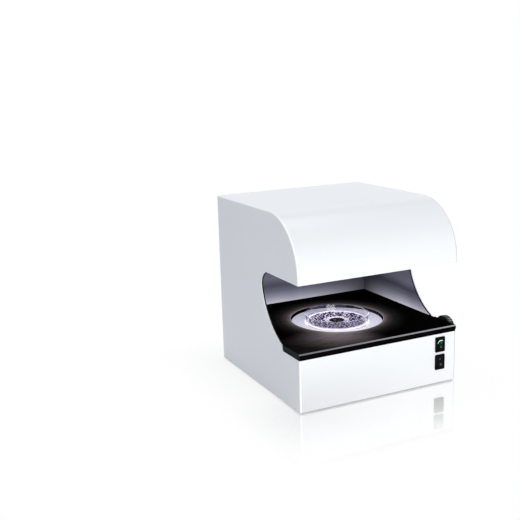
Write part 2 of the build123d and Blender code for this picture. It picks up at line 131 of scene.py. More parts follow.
class Look:
    """A node material under construction: its tree, its shader and short ways to add nodes."""

    def __init__(self, name):
        self.material = bpy.data.materials.new(name)
        self.material.use_nodes = True
        self.nodes = self.material.node_tree.nodes
        self.links = self.material.node_tree.links
        self.shader = self.nodes["Principled BSDF"]
        self.place = self.nodes.new("ShaderNodeTexCoord").outputs["Object"]

    def link(self, output, socket):
        """Join two sockets."""
        self.links.new(output, socket)

    def set(self, **values):
        """Set the shader's own sockets; an underscore in a keyword stands for a space."""
        for key, value in values.items():
            self.shader.inputs[key.replace("_", " ")].default_value = value

    def noise(self, scale, detail=2.0, stretch=None):
        """A noise pattern in the piece's own space, of so many waves to the metre."""
        source = self.place
        if stretch:
            mapping = self.nodes.new("ShaderNodeMapping")
            mapping.inputs["Scale"].default_value = stretch
            self.link(source, mapping.inputs["Vector"])
            source = mapping.outputs["Vector"]
        texture = self.nodes.new("ShaderNodeTexNoise")
        texture.inputs["Scale"].default_value = scale
        texture.inputs["Detail"].default_value = detail
        self.link(source, texture.inputs["Vector"])
        return texture.outputs["Fac"]

    def ramp(self, factor, *stops):
        """Colours by factor: each stop is a place from 0 to 1 and a colour."""
        node = self.nodes.new("ShaderNodeValToRGB")
        elements = node.color_ramp.elements
        elements[0].position, elements[0].color = stops[0]
        elements[1].position, elements[1].color = stops[-1]
        for place, colour in stops[1:-1]:
            elements.new(place).color = colour
        self.link(factor, node.inputs["Fac"])
        return node.outputs["Color"]

    def spread(self, value, low, high, to_low=0.0, to_high=1.0, smooth=False):
        """A value between two limits, taken to two others."""
        node = self.nodes.new("ShaderNodeMapRange")
        if smooth:
            node.interpolation_type = "SMOOTHSTEP"
        for key, number in zip(("From Min", "From Max", "To Min", "To Max"), (low, high, to_low, to_high)):
            node.inputs[key].default_value = number
        self.link(value, node.inputs["Value"])
        return node.outputs["Result"]

    def band(self, value, start, full, still, end):
        """1 between full and still, fading to 0 at start below them and at end above them."""
        return self.times(self.spread(value, start, full), self.spread(value, end, still))

    def maths(self, operation, first, second=0.0):
        """One operation on two values; each is a number or another node's output."""
        node = self.nodes.new("ShaderNodeMath")
        node.operation = operation
        for socket, value in zip(node.inputs, (first, second)):
            if isinstance(value, (int, float)):
                socket.default_value = value
            else:
                self.link(value, socket)
        return node.outputs["Value"]

    def times(self, first, *others):
        """The product of several values."""
        for other in others:
            first = self.maths("MULTIPLY", first, other)
        return first

    def mix(self, factor, first, second, blend="MIX"):
        """Two colours mixed; each is a colour or another node's output."""
        node = self.nodes.new("ShaderNodeMix")
        node.data_type = "RGBA"
        node.blend_type = blend
        sockets = {item.identifier: item for item in node.inputs}
        for key, value in (("Factor_Float", factor), ("A_Color", first), ("B_Color", second)):
            if isinstance(value, (int, float, tuple)):
                sockets[key].default_value = value
            else:
                self.link(value, sockets[key])
        return next(item for item in node.outputs if item.identifier == "Result_Color")

    def axis(self, name):
        """One coordinate of the piece's own space, in metres."""
        node = self.nodes.new("ShaderNodeSeparateXYZ")
        self.link(self.place, node.inputs["Vector"])
        return node.outputs[name]

    def vector(self, operation, first, second=(0.0, 0.0, 0.0), result="Vector"):
        """One operation on a node's output and a plain vector."""
        node = self.nodes.new("ShaderNodeVectorMath")
        node.operation = operation
        self.link(first, node.inputs[0])
        node.inputs[1].default_value = second
        return node.outputs[result]

    def level_offset(self, centre):
        """From a centre to the point, in plan."""
        return self.vector("MULTIPLY", self.vector("SUBTRACT", self.place, centre), (1.0, 1.0, 0.0))

    def radius(self, centre):
        """Distance from an upright axis through a centre, in metres."""
        return self.vector("LENGTH", self.level_offset(centre), result="Value")

    def towards(self, centre, bearing):
        """How nearly a point lies in one direction, in plan, from a centre: 1 straight along it."""
        unit = self.vector("NORMALIZE", self.level_offset(centre))
        heading = (math.cos(math.radians(bearing)), math.sin(math.radians(bearing)), 0.0)
        return self.vector("DOT_PRODUCT", unit, heading, result="Value")

    def facing(self):
        """The three parts of the direction that the real face looks in."""
        geometry = self.nodes.new("ShaderNodeNewGeometry")
        node = self.nodes.new("ShaderNodeSeparateXYZ")
        self.link(geometry.outputs["Normal"], node.inputs["Vector"])
        return node.outputs

    def grain_ramp(self, pattern, darker, paler):
        """Two colours that follow a noise pattern."""
        return self.ramp(pattern, (NOISE_LOW, darker), (NOISE_HIGH, paler))

    def roughen(self, pattern, low, high):
        """Let a noise pattern vary the shader's roughness between two values."""
        self.link(self.spread(pattern, NOISE_LOW, NOISE_HIGH, low, high), self.shader.inputs["Roughness"])

    def paint(self, colour):
        """Link a colour to the shader."""
        self.link(colour, self.shader.inputs["Base Color"])

    def painted(self):
        """The node output that colours the shader so far."""
        return self.shader.inputs["Base Color"].links[0].from_socket

    def glow(self, colour, strength=1.0):
        """Link a colour to the shader's own light."""
        self.link(colour, self.shader.inputs["Emission Color"])
        self.set(Emission_Strength=strength)

    def bump(self, height, depth_mm):
        """Raise and sink the surface by a pattern."""
        node = self.nodes.new("ShaderNodeBump")
        node.inputs["Strength"].default_value = 1.0
        node.inputs["Distance"].default_value = depth_mm * MM
        self.link(height, node.inputs["Height"])
        self.link(node.outputs["Normal"], self.shader.inputs["Normal"])


def surface(name, colour, roughness, tint=0.04, waves=9, grain=900, depth_mm=0.03):
    """A moulded or painted finish: a slight broad tint, a fine grain, and a roughness to match."""
    look = Look(name)
    broad = look.noise(waves, 3.0)
    look.paint(look.grain_ramp(broad, scaled(colour, 1 - tint), scaled(colour, 1 + tint)))
    fine = look.noise(grain)
    look.roughen(fine, roughness * 0.9, roughness * 1.1)
    look.bump(fine, depth_mm)
    return look


def paint_material(name, colour):
    """Satin powder coat, with painted light: a painted highlight on the left edges, and painted shade on the right
    edges, round the upper curve and in a corner low at the left of the front.
    """
    look = surface(name, colour, 0.38, tint=0.012, waves=6, grain=420, depth_mm=0.012)
    facing = look.facing()
    turning = (0.02, 0.12, 0.9, 0.985)
    # Painted highlight on the edges that turn to the left, painted shade on those that turn to the right.
    left_edge = look.band(look.times(facing["X"], -1.0), *turning)
    right_edge = look.band(facing["X"], *turning)
    # Painted shade round the hood's upper curve.
    upper_curve = look.band(facing["Z"], 0.06, 0.62, 0.93, 0.998)
    shaded = look.mix(look.times(upper_curve, 0.9), look.painted(), scaled(colour, 0.85))
    # Painted shade low down at the left of the front faces.
    front = look.spread(look.times(facing["Y"], -1.0), 0.6, 0.9)
    low = look.spread(look.axis("Z"), 80 * MM, 12 * MM)
    left = look.spread(look.axis("X"), 100 * MM, -110 * MM, 0.25, 1.0)
    corner_shaded = look.mix(look.times(front, low, left), shaded, scaled(colour, 0.79))
    pale = look.mix(left_edge, corner_shaded, (0.97, 0.97, 0.97, 1.0))
    look.paint(look.mix(right_edge, pale, scaled(colour, 0.62)))
    look.set(Coat_Weight=0.15, Coat_Roughness=0.25)
    return look.material


def worktop_material():
    """Matt black laminate. The lit disc's light, a narrow ring round it and a lobe ahead of it, is painted as the
    laminate's own glow; the bevel, the hole's rim and the side faces carry painted highlights and sheen.
    """
    look = Look("black_worktop")
    mottle = look.noise(60, 6.0, (1.0, 2.4, 1.0))
    fine = look.noise(1400)
    base = look.grain_ramp(mottle, srgb(5, 4, 5), srgb(13, 11, 12))
    facing = look.facing()
    flat = (0.9, 0.98)
    upward = look.spread(facing["Z"], *flat)
    # Painted sheen: the faces that look sideways are painted a paler grey.
    side_edge = look.spread(look.maths("ABSOLUTE", facing["X"]), *flat)
    # Painted highlight along the front bevel, paler towards the right.
    bevel = look.times(look.maths("SUBTRACT", facing["Z"], facing["Y"]), math.sqrt(0.5))
    on_bevel = look.spread(bevel, 0.93, 0.98)
    reach = look.radius(plate_axis)
    # Painted highlight on a thin band of the top just outside the hole's rim.
    hole_edge = look.times(look.spread(reach, (hole_radius + 0.9) * MM, (hole_radius + 0.6) * MM), upward)
    from_left = look.spread(look.axis("X"), worktop_low.x, worktop_high.x)
    glint = look.ramp(from_left, (0.0, srgb(120, 120, 122)), (1.0, srgb(162, 162, 164)))
    sheened = look.mix(side_edge, base, srgb(46, 52, 53))
    bevelled = look.mix(on_bevel, sheened, glint)
    look.paint(look.mix(hole_edge, bevelled, srgb(196, 192, 196)))

    # Painted light: the disc's glow on the laminate is its emission, a ring round the hole and a lobe ahead of it,
    # patchy with the mottle.
    halo_width = 34
    halo = look.ramp(
        look.spread(reach, hole_radius * MM, (hole_radius + halo_width) * MM),
        (0.0, srgb(108, 100, 102)),
        (0.2, srgb(58, 53, 54)),
        (0.44, srgb(27, 24, 25)),
        (0.72, srgb(10, 8, 9)),
        (1.0, BLACK),
    )
    lobe_length = 70
    ahead = look.ramp(
        look.spread(reach, hole_radius * MM, (hole_radius + lobe_length) * MM),
        (0.0, srgb(116, 106, 112)),
        (0.4, srgb(102, 93, 97)),
        (0.65, srgb(72, 66, 66)),
        (1.0, srgb(24, 21, 21)),
    )
    lobe = look.spread(look.towards(plate_axis, 240), 0.76, 1.0)
    lit = look.mix(1.0, halo, look.mix(look.times(lobe, lobe), BLACK, ahead), "ADD")
    patchy = look.times(look.spread(mottle, NOISE_LOW, NOISE_HIGH, 0.72, 1.25), upward)
    look.glow(look.mix(patchy, BLACK, lit))
    look.roughen(fine, 0.55, 0.65)
    look.bump(fine, 0.02)
    look.set(Specular_IOR_Level=0.0)
    return look.material


def liner_material():
    """Matt grey paint, with the worktop disc's light painted on as its own glow: palest low down, with painted
    shade in the far right corner.
    """
    look = Look("grey_liner")
    broad = look.noise(9, 3.0)
    look.paint(look.grain_ramp(broad, srgb(72, 71, 82), srgb(80, 79, 91)))
    # Painted light: the disc's glow on the walls is emission, by height.
    foot = worktop_high.z
    lit_height = 60 * MM
    height = look.maths("ADD", look.axis("Z"), look.spread(broad, NOISE_LOW, NOISE_HIGH, -3 * MM, 3 * MM))
    upwards = look.ramp(
        look.spread(height, foot, foot + lit_height),
        (0.0, srgb(182, 180, 192)),
        (0.06, srgb(160, 158, 170)),
        (0.16, srgb(124, 123, 136)),
        (0.28, srgb(84, 83, 97)),
        (0.43, srgb(46, 45, 57)),
        (0.62, srgb(86, 85, 99)),
        (1.0, srgb(68, 67, 80)),
    )
    # Painted shade towards the far right corner.
    from_corner = look.radius((right_wall_low.x, back_wall_low.y, 0.0))
    away = look.spread(from_corner, -20 * MM, 125 * MM, smooth=True)
    look.glow(look.mix(away, BLACK, upwards))
    fine = look.noise(700)
    look.roughen(fine, 0.5, 0.6)
    look.bump(fine, 0.015)
    look.set(Specular_IOR_Level=0.15)
    return look.material


def colony_material():
    """Wet violet colonies, darker and greyer where they crowd together at the heart of the plate."""
    look = surface("colony", srgb(64, 44, 122), 0.25, tint=0.5, waves=260, grain=2500, depth_mm=0.02)
    outside = look.spread(look.radius(plate_axis), (heart_radius + 0.2) * MM, (heart_radius + 1.6) * MM)
    look.paint(look.mix(outside, srgb(56, 51, 70), look.painted()))
    look.set(Specular_IOR_Level=0.2)
    return look.material


def from_back_to_front(look):
    """0 on the far side of the plate's axis and 1 on the near side, a little left of straight ahead."""
    return look.spread(look.towards(plate_axis, 250), -1.0, 1.0)


def ring_material():
    """Frosted plastic over the lamps, with painted light: its glow is white where it turns to the front, blue-grey
    towards the back.
    """
    look = surface("frosted_ring", srgb(200, 200, 214), 0.35, tint=0.02, waves=30, grain=800, depth_mm=0.01)
    # Painted light: the ring's glow, paler towards the front.
    lit = look.ramp(
        from_back_to_front(look),
        (0.0, srgb(150, 149, 166)),
        (0.5, srgb(182, 180, 195)),
        (0.8, srgb(200, 197, 206)),
        (0.97, srgb(218, 214, 220)),
    )
    look.glow(lit)
    return look.material


def medium_material():
    """Pale growth medium; its light from below is painted as its own glow, brightest at the back of the plate."""
    look = surface("growth_medium", srgb(236, 232, 244), 0.3, tint=0.02, waves=30, grain=800, depth_mm=0.01)
    # Painted light: the medium's glow, dimmer towards the front.
    lit = look.ramp(
        from_back_to_front(look),
        (0.0, srgb(232, 228, 238)),
        (0.6, srgb(188, 180, 200)),
        (1.0, srgb(118, 106, 134)),
    )
    look.glow(lit)
    return look.material


def clear_surface(name, colour, roughness, ior):
    """Clear moulded plastic or glass, with a trace of texture."""
    look = surface(name, colour, roughness, tint=0.01, waves=25, grain=260, depth_mm=0.004)
    look.set(Transmission_Weight=1.0, IOR=ior)
    return look


def dish_material():
    """Clear polystyrene, with violet painted into its foot and into the far part of its rim as a painted
    reflection of the colonies.
    """
    look = clear_surface("clear_dish", (0.98, 0.98, 1.0, 1.0), 0.03, 1.49)
    height = look.axis("Z")
    # Painted reflection: violet in the far part of the rim and in the foot.
    far = look.spread(look.towards(plate_axis, 100), 0.1, 0.8)
    rim = look.times(look.spread(height, dish_high.z - 3.2 * MM, dish_high.z - 1.4 * MM), far)
    foot = look.spread(height, dish_low.z + 2.2 * MM, dish_low.z + 1.0 * MM)
    outer = look.spread(look.radius(plate_axis), 41.5 * MM, 42.5 * MM)
    footed = look.mix(look.times(foot, outer), look.painted(), (0.46, 0.35, 0.53, 1.0))
    look.paint(look.mix(rim, footed, (0.3, 0.24, 0.6, 1.0)))
    look.set(Specular_IOR_Level=0.2)
    return look.material


def lit_material(name, colour, strength, roughness=0.4):
    """Opal plastic with lamps behind it."""
    look = surface(name, colour, roughness, tint=0.02, waves=30, grain=800, depth_mm=0.01)
    look.glow(look.grain_ramp(look.noise(60), scaled(colour, 0.94), colour), strength)
    return look.material


def board_material():
    """Green solder mask with paler tracks."""
    look = Look("circuit_board")
    tracks = look.nodes.new("ShaderNodeTexBrick")
    for key, value in (("Scale", 160.0), ("Mortar Size", 0.06), ("Brick Width", 0.9), ("Row Height", 0.22)):
        tracks.inputs[key].default_value = value
    tracks.inputs["Color1"].default_value = srgb(18, 88, 52)
    tracks.inputs["Color2"].default_value = srgb(14, 74, 44)
    tracks.inputs["Mortar"].default_value = srgb(40, 128, 78)
    look.link(look.place, tracks.inputs["Vector"])
    look.paint(tracks.outputs["Color"])
    look.roughen(look.noise(600), 0.3, 0.42)
    look.bump(tracks.outputs["Fac"], 0.02)
    return look.material


def metal_material(name, colour, roughness, stretch):
    """Rolled or brushed metal, its grain drawn out along one direction."""
    look = Look(name)
    grain = look.noise(300, 3.0, stretch)
    look.paint(look.grain_ramp(grain, scaled(colour, 0.88), scaled(colour, 1.08)))
    look.roughen(grain, roughness * 0.8, roughness * 1.25)
    look.bump(grain, 0.01)
    look.set(Metallic=1.0)
    return look.material


def dark(name, colour, roughness, gloss=0.12, **details):
    """A near-black plastic or rubber, with so little gloss that it stays dark in a white room."""
    look = surface(name, colour, roughness, **details)
    look.set(Specular_IOR_Level=gloss)
    return look.material


def lens_material():
    """The power key's green lens, faintly lit from behind."""
    look = surface("power_lens", srgb(4, 26, 18), 0.2, tint=0.3, waves=260, grain=900, depth_mm=0.01)
    look.glow(look.grain_ramp(look.noise(300), srgb(0, 14, 9), srgb(6, 36, 26)))
    look.set(Specular_IOR_Level=0.06)
    return look.material


def make_materials():
    """One material for each of the record's slots."""
    return {
        "white_paint": paint_material("white_paint", (0.88, 0.895, 0.91, 1.0)),
        "rear_paint": paint_material("rear_paint", (0.78, 0.80, 0.82, 1.0)),
        "base_metal": metal_material("base_metal", (0.55, 0.56, 0.58, 1.0), 0.42, (1.0, 0.15, 1.0)),
        "black_worktop": worktop_material(),
        "grey_liner": liner_material(),
        "white_plastic": surface("white_plastic", (0.85, 0.85, 0.85, 1.0), 0.45, tint=0.02).material,
        "lit_diffuser": lit_material("lit_diffuser", (0.93, 0.92, 1.0, 1.0), 0.9),
        "lamp_window": lit_material("lamp_window", (0.85, 0.85, 0.88, 1.0), 0.25),
        "circuit_board": board_material(),
        "clear_glass": clear_surface("clear_glass", (0.95, 0.97, 0.97, 1.0), 0.01, 1.5).material,
        "black_metal": metal_material("black_metal", (0.03, 0.03, 0.033, 1.0), 0.35, (1.0, 1.0, 0.2)),
        "bare_aluminium": metal_material("bare_aluminium", (0.75, 0.76, 0.77, 1.0), 0.35, (1.0, 0.1, 1.0)),
        "bright_metal": metal_material("bright_metal", (0.74, 0.74, 0.73, 1.0), 0.22, (0.3, 1.0, 1.0)),
        "black_plastic": dark("black_plastic", srgb(6, 7, 8), 0.36, gloss=0.05, tint=0.12),
        "power_key": dark("power_key", srgb(6, 10, 9), 0.22, gloss=0.05, tint=0.2, waves=120),
        "power_lens": lens_material(),
        "light_key": dark("light_key", srgb(9, 10, 12), 0.24, gloss=0.06, tint=0.2, waves=120),
        "knob_plastic": dark("knob_plastic", srgb(31, 50, 43), 0.16, gloss=0.4, tint=0.3, waves=70),
        "black_rubber": dark("black_rubber", srgb(22, 22, 23), 0.75, tint=0.1, grain=1500, depth_mm=0.06),
        "frosted_ring": ring_material(),
        "clear_dish": dish_material(),
        "growth_medium": medium_material(),
        "colony": colony_material(),
        "pale_mark": surface("pale_mark", srgb(128, 132, 132), 0.4, tint=0.05, waves=400).material,
        "lit_mark": lit_material("lit_mark", srgb(168, 214, 200), 0.5, 0.3),
    }


def dress_cad_nodes():
    """Give every carried-over CAD node the material of its own slot."""
    slots = {part["node"]: part["material_slot"] for part in frame["record"]["subparts"]}
    for name, node in frame["nodes"].items():
        for place in node.material_slots:
            place.material = materials[slots[name]]


# ---- Mesh helpers ----
def to_object(name, mesh):
    """Turn a finished mesh into an object of the scene, with its faces all looking outwards."""
    bmesh.ops.recalc_face_normals(mesh, faces=mesh.faces)
    data = bpy.data.meshes.new(name)
    mesh.to_mesh(data)
    mesh.free()
    made = bpy.data.objects.new(name, data)
    bpy.context.scene.collection.objects.link(made)
    return made


def new_piece(name, mesh, body, slot, smooth_angle=35.0):
    """A piece of the object, with its finish and the body that it rides on."""
    piece = to_object(name, mesh)
    piece.data.materials.append(materials[slot])
    piece.data.shade_smooth()
    piece.data.set_sharp_from_angle(angle=math.radians(smooth_angle))
    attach(piece, body)
    return piece


def rounded(points, radius):
    """A closed profile with each corner eased by a short curve; a point may carry its own radius."""
    steps = 4
    result = []
    count = len(points)
    for index, point in enumerate(points):
        here = Vector(point[:2])
        before = Vector(points[index - 1][:2]) - here
        after = Vector(points[(index + 1) % count][:2]) - here
        turn = point[2] if len(point) > 2 else radius
        if turn <= 0:
            result.append(here)
            continue
        reach = min(turn, before.length * 0.45, after.length * 0.45)
        start = here + before.normalized() * reach
        end = here + after.normalized() * reach
        for step in range(steps + 1):
            share = step / steps
            result.append((1 - share) ** 2 * start + 2 * share * (1 - share) * here + share**2 * end)
    return result


def join_rows(mesh, lower, upper):
    """Faces between two closed rows of points."""
    for index in range(len(lower)):
        after = (index + 1) % len(lower)
        mesh.faces.new((lower[index], lower[after], upper[after], upper[index]))


def close_row(mesh, row, tip):
    """Faces between a closed row of points and one point."""
    for index in range(len(row)):
        mesh.faces.new((row[index], row[(index + 1) % len(row)], tip))


# A turned piece keeps this far off its own axis, in millimetres, so that its faces stay whole.
near_axis = 0.01


def lathe(profile, segments, place, ripple=None):
    """Turn a closed (radius, height) profile in millimetres about an upright axis through place."""
    mesh = bmesh.new()
    rings = []
    for radius, height in profile:
        ring = []
        for segment in range(segments):
            angle = math.tau * segment / segments
            reach = radius - (ripple(angle, radius) if ripple else 0.0)
            spot = Vector((reach * math.cos(angle), reach * math.sin(angle), height)) * MM
            ring.append(mesh.verts.new(place + spot))
        rings.append(ring)
    for index, ring in enumerate(rings):
        join_rows(mesh, ring, rings[(index + 1) % len(rings)])
    bmesh.ops.remove_doubles(mesh, verts=mesh.verts, dist=1e-7)
    return mesh


def box_between(mesh, low, high):
    """Add a box between two corners, given in millimetres."""
    middle = [(a + b) / 2 * MM for a, b in zip(low, high)]
    size = [(b - a) * MM for a, b in zip(low, high)]
    place = Matrix.Translation(middle) @ Matrix.Diagonal((*size, 1.0))
    bmesh.ops.create_cube(mesh, size=1.0, matrix=place)


def facing_right():
    """Turns an upright piece so that its axis points along +X."""
    return Matrix(((0, 0, 1, 0), (0, 1, 0, 0), (-1, 0, 0, 0), (0, 0, 0, 1)))


# ---- Plate, medium and ring ----
ring_segments = 160
medium_depth = 2.2
medium_level = medium_depth - 0.3
heart_radius = 10.6


def on_plate_axis(height):
    """The point of the plate's upright axis at a height in metres."""
    return Vector((plate_axis.x, plate_axis.y, height))


def make_ring():
    """The frosted ring: eased edges and a slope round its bore, where it meets the dish."""
    room_for_seal = 0.7
    outer = (ring_high.x - ring_low.x) / 2 / MM - room_for_seal
    height = (ring_high.z - ring_low.z) / MM
    slope_width = 1.6
    slope_depth = 1.0
    outline = [
        (ring_bore, 0),
        (outer, 0),
        (outer, height),
        (ring_bore + slope_width, height),
        (ring_bore, height - slope_depth),
    ]
    mesh = lathe(rounded(outline, 0.35), ring_segments, on_plate_axis(ring_low.z))
    ring = new_piece("frosted_ring", mesh, "ring", "frosted_ring")
    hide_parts("adapter_ring")


def make_seal():
    """A black seal that fills the gap between the ring and the worktop's hole."""
    width, gap, foot, slope = 1.05, 0.06, 0.05, 0.5
    inner = hole_radius - width
    outer = hole_radius - gap
    height = (ring_high.z - diffuser_high.z) / MM
    outline = [(inner, foot), (outer, foot), (outer, height), (inner, height - slope)]
    mesh = lathe(rounded(outline, 0.3), ring_segments, on_plate_axis(diffuser_high.z))
    new_piece("plate_hole_seal", mesh, "housing", "black_rubber")


def make_dish():
    """The clear dish: a wall that widens upwards to a beaded rim, a rounded corner and a stacking foot."""
    foot, rim, wall = 43.2, 44.8, 1.2
    foot_height, foot_width = 0.45, 2.6
    bead_height, bead_depth = 1.0, 0.3
    height = (dish_high.z - dish_low.z) / MM
    floor = (agar_low.z - dish_low.z) / MM
    gap_under_medium = 0.15
    floor_top = floor - gap_under_medium
    outline = [
        (near_axis, foot_height, 0),
        (foot - foot_width, foot_height),
        (foot - foot_width + 0.2, 0.0),
        (foot, 0.0, 0.5),
        (rim - bead_depth, height - bead_height - bead_depth),
        (rim, height - bead_height),
        (rim, height),
        (rim - wall, height),
        (foot - wall + 0.1, floor + 0.7, 0.9),
        (foot - wall - 0.7, floor_top, 0.5),
        (near_axis, floor_top, 0),
    ]
    mesh = lathe(rounded(outline, 0.25), 144, on_plate_axis(dish_low.z))
    dish = new_piece("dish", mesh, "plate", "clear_dish", smooth_angle=50)
    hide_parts("petri_dish")


def make_medium():
    """The growth medium, with a meniscus that climbs the dish's wall."""
    edge = 41.9
    foot = 0.1
    corner = 0.7
    climb_width, climb_height, climb_power = 2.0, 1.05, 2.5
    steps = 6
    outline = [
        (near_axis, foot),
        (edge - corner - 0.1, foot),
        (edge - 0.1, foot + corner),
        (edge, medium_depth),
        (edge, medium_level + climb_height),
    ]
    for step in range(1, steps + 1):
        share = step / steps
        rise = climb_height * (1 - share) ** climb_power
        outline.append((edge - climb_width * share, medium_level + rise))
    outline.append((near_axis, medium_level))
    mesh = lathe(outline, 128, on_plate_axis(agar_low.z))
    medium = new_piece("medium", mesh, "plate", "growth_medium")
    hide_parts("agar")


def dome(mesh, place, radius, height):
    """A low round drop on a level surface, closed underneath."""
    rings, segments = 3, 9
    rows = []
    for ring in range(rings):
        lean = ring / rings * math.pi / 2
        reach = radius * math.cos(lean)
        rise = height * math.sin(lean)
        row = []
        for segment in range(segments):
            angle = math.tau * segment / segments
            spot = Vector((reach * math.cos(angle), reach * math.sin(angle), rise))
            row.append(mesh.verts.new(place + spot))
        rows.append(row)
    tip = mesh.verts.new(place + Vector((0, 0, height)))
    for lower, upper in zip(rows, rows[1:]):
        join_rows(mesh, lower, upper)
    close_row(mesh, rows[-1], tip)
    mesh.faces.new(list(reversed(rows[0])))


def make_colonies():
    """Violet colonies: a crowded heart, a band with few, and a dense outer field of large and small ones."""
    dice = random.Random(7)
    mesh = bmesh.new()
    sunk = 0.02
    level = agar_low.z + medium_level * MM - sunk * MM
    flatness = 0.42
    tries = 30
    taken = []

    def sow(count, inner, outer, small, large, gap):
        """Sow colonies between two radii; gap is the least distance as a share of two colonies' radii."""
        sown = 0
        for _ in range(count * tries):
            if sown == count:
                return
            reach = math.sqrt(dice.uniform(inner**2, outer**2))
            angle = dice.uniform(0, math.tau)
            size = dice.uniform(small, large)
            spot = (reach * math.cos(angle), reach * math.sin(angle))
            if all(math.dist(spot, other) > gap * (size + width) for *other, width in taken):
                taken.append((*spot, size))
                place = Vector((plate_axis.x + spot[0] * MM, plate_axis.y + spot[1] * MM, level))
                dome(mesh, place, size * MM, size * flatness * MM)
                sown += 1

    sow(230, inner=0.0, outer=heart_radius, small=0.8, large=1.2, gap=0.58)
    sow(34, inner=12.0, outer=18.0, small=0.6, large=1.1, gap=1.5)
    sow(240, inner=18.0, outer=39.4, small=1.3, large=2.4, gap=0.8)
    sow(240, inner=18.0, outer=40.6, small=0.6, large=1.0, gap=0.95)
    new_piece("colonies", mesh, "plate", "colony", smooth_angle=60)


# ---- Light knob ----
def make_knob():
    """The knob: soft flutes, a raised border round its face, a bore for the shaft, its pale pointer, and two pale
    bars on the rim that are painted glints.
    """
    edge = (knob_high.z - knob_low.z) / 2 / MM
    thickness = (knob_high.x - knob_low.x) / MM
    flutes, flute_depth, flute_band = 30, 0.6, 1.6
    bore, bore_depth = 2.02, 6.0
    face = thickness - 0.6

    def ripple(angle, radius):
        """How deep a flute is at an angle; only the rim has flutes."""
        if radius < edge - flute_band:
            return 0.0
        wave = 0.5 - 0.5 * math.cos(flutes * angle)
        return flute_depth * wave**3

    outline = [
        (bore, 0.0, 0),
        (edge - 0.2, 0.0, 0.5),
        (edge, 1.2, 0.6),
        (edge - 0.35, thickness, 1.1),
        (edge - 3.4, thickness, 0.8),
        (edge - 4.4, thickness - 0.8, 0.6),
        (2.4, face, 0),
        (near_axis, face, 0),
        (near_axis, bore_depth, 0),
        (bore, bore_depth, 0),
    ]
    seat = Matrix.Translation((knob_low.x, knob_axis.y, knob_axis.z))
    mesh = lathe(rounded(outline, 0.5), flutes * 8, Vector((0, 0, 0)), ripple)
    mesh.transform(seat @ facing_right())
    knob = new_piece("light_knob_disc", mesh, "light_knob", "knob_plastic")
    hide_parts("knob")

    pointer_angle = 36
    line_start, line_end, line_width = 4.5 - edge, -3.2, 1.0
    line_foot, line_top = thickness - 1.0, thickness - 0.55
    # Two pale bars on the rim beside the pointer are painted glints.
    glint_bar_outer, glint_bar_inner, glint_bar_width = 0.12 - edge, 1.1 - edge, 1.1
    glint_bar_foot, glint_bar_top = 1.6, thickness - 2.2
    pointer = bmesh.new()
    box_between(pointer, (line_start, -line_width / 2, line_foot), (line_end, line_width / 2, line_top))
    for middle in (-1.5, 1.5):
        low = (glint_bar_outer, middle - glint_bar_width / 2, glint_bar_foot)
        high = (glint_bar_inner, middle + glint_bar_width / 2, glint_bar_top)
        box_between(pointer, low, high)
    turn = Matrix.Rotation(math.radians(pointer_angle), 4, "X")
    pointer.transform(seat @ turn @ facing_right())
    new_piece("light_knob_pointer", pointer, "light_knob", "pale_mark")


# ---- Switch keys: sizes in millimetres, places on the face as (across, height) from the pivot ----
key_half_width = 5.2
key_half_height = 7.8
key_throw = 20.0
face_radius = 17.8
face_rest = 2.2


def face_depth(height):
    """How far ahead of the pivot the key's hollow face lies, at a height, in millimetres."""
    return face_rest + face_radius - math.sqrt(face_radius**2 - height**2)


def on_face(across, height, lift):
    """A point on the key's face, raised off it by a little."""
    return Vector((across, -face_depth(height) - lift, height)) * MM


def key_place(joint):
    """Where a key stands at rest: on its pivot, with the upper end pressed in."""
    pivot = next(item["pos_m"] for item in frame["joints"] if item["name"] == joint)
    return Matrix.Translation(pivot) @ Matrix.Rotation(math.radians(-key_throw / 2), 4, "X")


def key_mesh():
    """A rocker: a hollow face in front, a round belly behind, and every edge softened."""
    steps = 14
    belly_half_height = key_half_height - 0.6
    belly_start, belly_depth = 0.5, 4.5
    softness = 0.35
    outline = []
    for step in range(steps + 1):
        height = key_half_height * (1 - 2 * step / steps)
        outline.append((-face_depth(height), height))
    for step in range(steps + 1):
        height = belly_half_height * (2 * step / steps - 1)
        bulge = belly_depth * (1 - (height / belly_half_height) ** 2)
        outline.append((belly_start + bulge, height))
    mesh = bmesh.new()
    ends = []
    for across in (-key_half_width, key_half_width):
        ends.append([mesh.verts.new(Vector((across, y, z)) * MM) for y, z in outline])
    mesh.faces.new(ends[0])
    mesh.faces.new(list(reversed(ends[1])))
    for index in range(len(outline)):
        after = (index + 1) % len(outline)
        mesh.faces.new((ends[0][index], ends[1][index], ends[1][after], ends[0][after]))
    bmesh.ops.recalc_face_normals(mesh, faces=mesh.faces)
    sharp = [edge for edge in mesh.edges if edge.calc_face_angle(0) > math.radians(40)]
    bmesh.ops.bevel(mesh, geom=sharp, offset=softness * MM, segments=3, profile=0.5, affect="EDGES")
    return mesh


def raised_patch(mesh, rows, thickness):
    """A thin slab on the key's face, let into it a little, from rows of (across, height) points."""
    sunk = 0.1
    layers = []
    for lift in (-sunk, thickness):
        layers.append([[mesh.verts.new(on_face(x, z, lift)) for x, z in row] for row in rows])
    below, above = layers
    last_row, last_column = len(rows) - 1, len(rows[0]) - 1
    for i in range(last_row):
        for j in range(last_column):
            for layer in (below, above):
                mesh.faces.new((layer[i][j], layer[i][j + 1], layer[i + 1][j + 1], layer[i + 1][j]))
    for j in range(last_column):
        for i in (0, last_row):
            mesh.faces.new((below[i][j], below[i][j + 1], above[i][j + 1], above[i][j]))
    for i in range(last_row):
        for j in (0, last_column):
            mesh.faces.new((below[i][j], below[i + 1][j], above[i + 1][j], above[i][j]))


